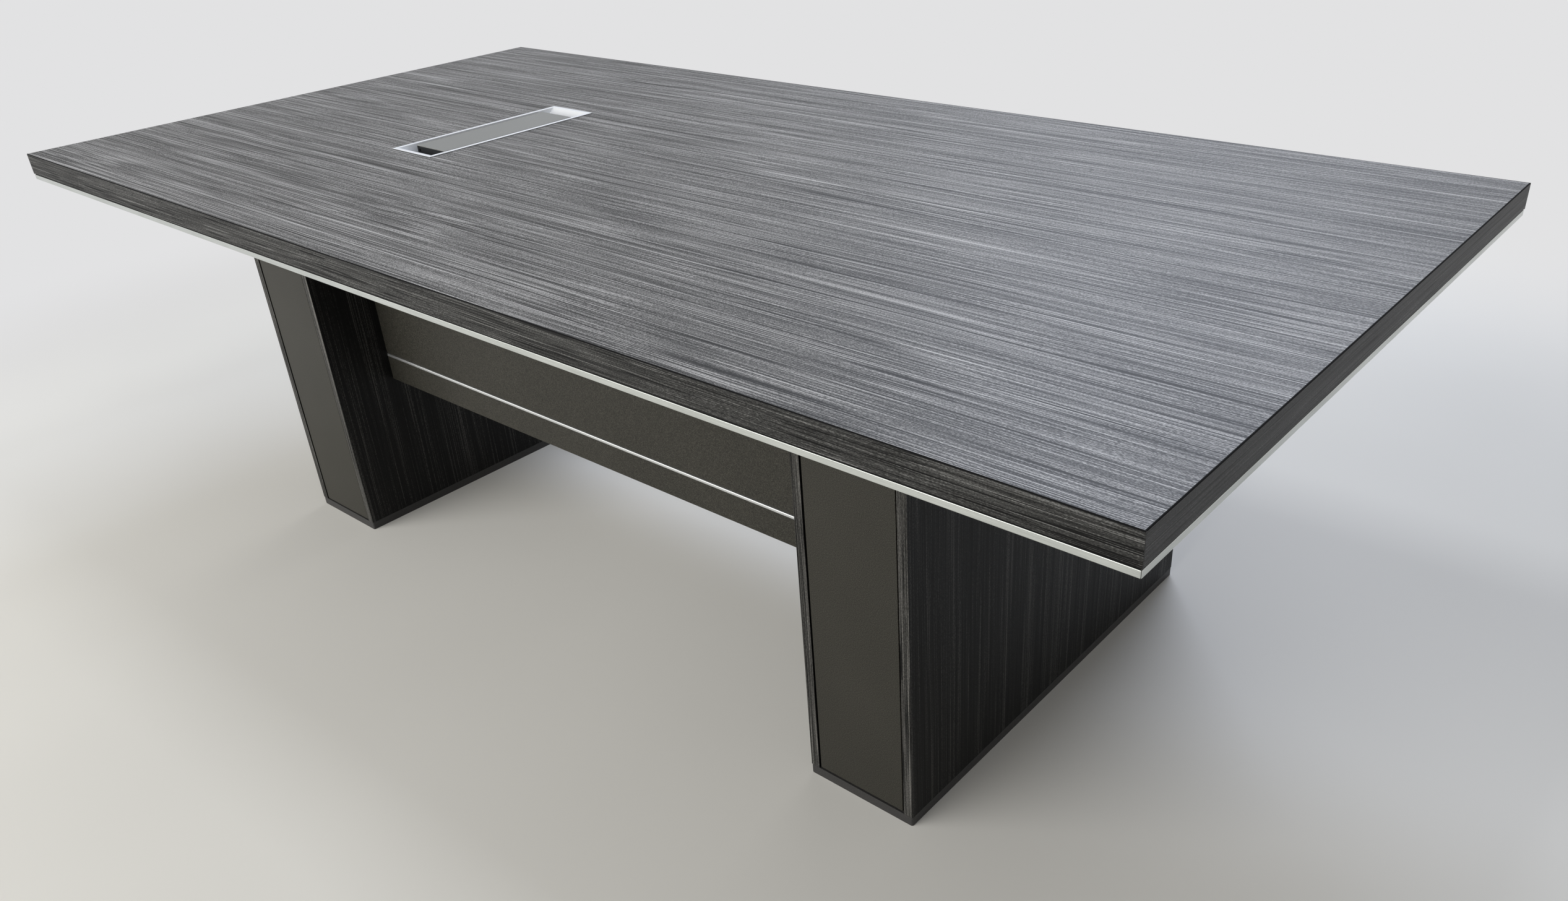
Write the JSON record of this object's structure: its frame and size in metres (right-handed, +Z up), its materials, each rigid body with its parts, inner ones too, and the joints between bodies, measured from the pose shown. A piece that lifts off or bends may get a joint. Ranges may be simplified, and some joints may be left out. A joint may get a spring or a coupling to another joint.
{
  "type": "conference table",
  "caption": "Rectangular conference table: dark woodgrain top with metal trim, on slab pedestals joined by stretchers, with a hinged-lid power module in the top.",
  "frame": {"origin": "on the floor under the middle of the top", "axes": "+X along the length of the top, away from the end with the power module; +Y from the front long edge to the back; +Z up"},
  "size_m": [2.438, 1.219, 0.7613],
  "materials": {
    "laminate_top": "charcoal woodgrain laminate, satin",
    "laminate_edge": "charcoal woodgrain edge band, satin",
    "laminate_side": "dark woodgrain laminate with upright grain",
    "taupe_panel": "smooth matte taupe laminate",
    "black_board": "matte black",
    "aluminium_trim": "satin anodised",
    "zinc_steel": "zinc plated",
    "white_moulding": "white satin moulding",
    "grey_paint": "fine speckled grey paint",
    "black_plastic": "black moulding",
    "box_steel": "plain sheet steel"
  },
  "bodies": {
    "table": {"tabletop_panel": "laminate_top", "edge_band_front": "laminate_edge", "trim_front": "aluminium_trim", "edge_band_back": "laminate_edge", "trim_back": "aluminium_trim", "edge_band_left": "laminate_edge", "trim_left": "aluminium_trim", "edge_band_right": "laminate_edge", "trim_right": "aluminium_trim", "left_inner_panel": "laminate_side", "left_outer_panel": "laminate_side", "left_front_panel": "taupe_panel", "left_back_panel": "taupe_panel", "left_front_spreader": "black_board", "left_back_spreader": "black_board", "left_base_plate": "black_board", "left_inner_cleat": "zinc_steel", "left_outer_cleat": "zinc_steel", "right_inner_panel": "laminate_side", "right_outer_panel": "laminate_side", "right_front_panel": "taupe_panel", "right_back_panel": "taupe_panel", "right_front_spreader": "black_board", "right_back_spreader": "black_board", "right_base_plate": "black_board", "right_inner_cleat": "zinc_steel", "right_outer_cleat": "zinc_steel", "front_stretcher_upper": "taupe_panel", "front_stretcher_lower": "taupe_panel", "front_stretcher_strip": "aluminium_trim", "stretcher_bracket_front_left": "zinc_steel", "stretcher_bracket_front_right": "zinc_steel", "module_clamp_front": "zinc_steel", "lid_bracket_front": "zinc_steel", "outlet_front": "black_plastic", "back_stretcher_upper": "taupe_panel", "back_stretcher_lower": "taupe_panel", "back_stretcher_strip": "aluminium_trim", "stretcher_bracket_back_left": "zinc_steel", "stretcher_bracket_back_right": "zinc_steel", "module_clamp_back": "zinc_steel", "lid_bracket_back": "zinc_steel", "outlet_back": "black_plastic", "module_bezel": "white_moulding", "module_housing": "box_steel", "socket_plate": "box_steel", "comms_insert": "black_plastic", "power_inlet": "black_plastic", "lid_hinge_rod": "zinc_steel"},
    "lid": {"lid_plate": "grey_paint", "lid_skirt": "black_plastic"},
    "left_leveller_1": {"left_leveller_1": "zinc_steel"},
    "left_leveller_2": {"left_leveller_2": "zinc_steel"},
    "left_leveller_3": {"left_leveller_3": "zinc_steel"},
    "left_leveller_4": {"left_leveller_4": "zinc_steel"},
    "right_leveller_1": {"right_leveller_1": "zinc_steel"},
    "right_leveller_2": {"right_leveller_2": "zinc_steel"},
    "right_leveller_3": {"right_leveller_3": "zinc_steel"},
    "right_leveller_4": {"right_leveller_4": "zinc_steel"}
  },
  "joints": [
    {"name": "lid_hinge", "type": "hinge", "parent": "table", "child": "lid", "pos_m": [-0.5485, 0, 0.751], "axis": [0, -1, 0], "range_deg": [0, 100]},
    {"name": "left_leveller_1_screw", "type": "slide", "parent": "table", "child": "left_leveller_1", "axis": [0, 0, -1], "range_m": [0, 0.012]},
    {"name": "left_leveller_2_screw", "type": "slide", "parent": "table", "child": "left_leveller_2", "axis": [0, 0, -1], "range_m": [0, 0.012]},
    {"name": "left_leveller_3_screw", "type": "slide", "parent": "table", "child": "left_leveller_3", "axis": [0, 0, -1], "range_m": [0, 0.012]},
    {"name": "left_leveller_4_screw", "type": "slide", "parent": "table", "child": "left_leveller_4", "axis": [0, 0, -1], "range_m": [0, 0.012]},
    {"name": "right_leveller_1_screw", "type": "slide", "parent": "table", "child": "right_leveller_1", "axis": [0, 0, -1], "range_m": [0, 0.012]},
    {"name": "right_leveller_2_screw", "type": "slide", "parent": "table", "child": "right_leveller_2", "axis": [0, 0, -1], "range_m": [0, 0.012]},
    {"name": "right_leveller_3_screw", "type": "slide", "parent": "table", "child": "right_leveller_3", "axis": [0, 0, -1], "range_m": [0, 0.012]},
    {"name": "right_leveller_4_screw", "type": "slide", "parent": "table", "child": "right_leveller_4", "axis": [0, 0, -1], "range_m": [0, 0.012]}
  ]
}
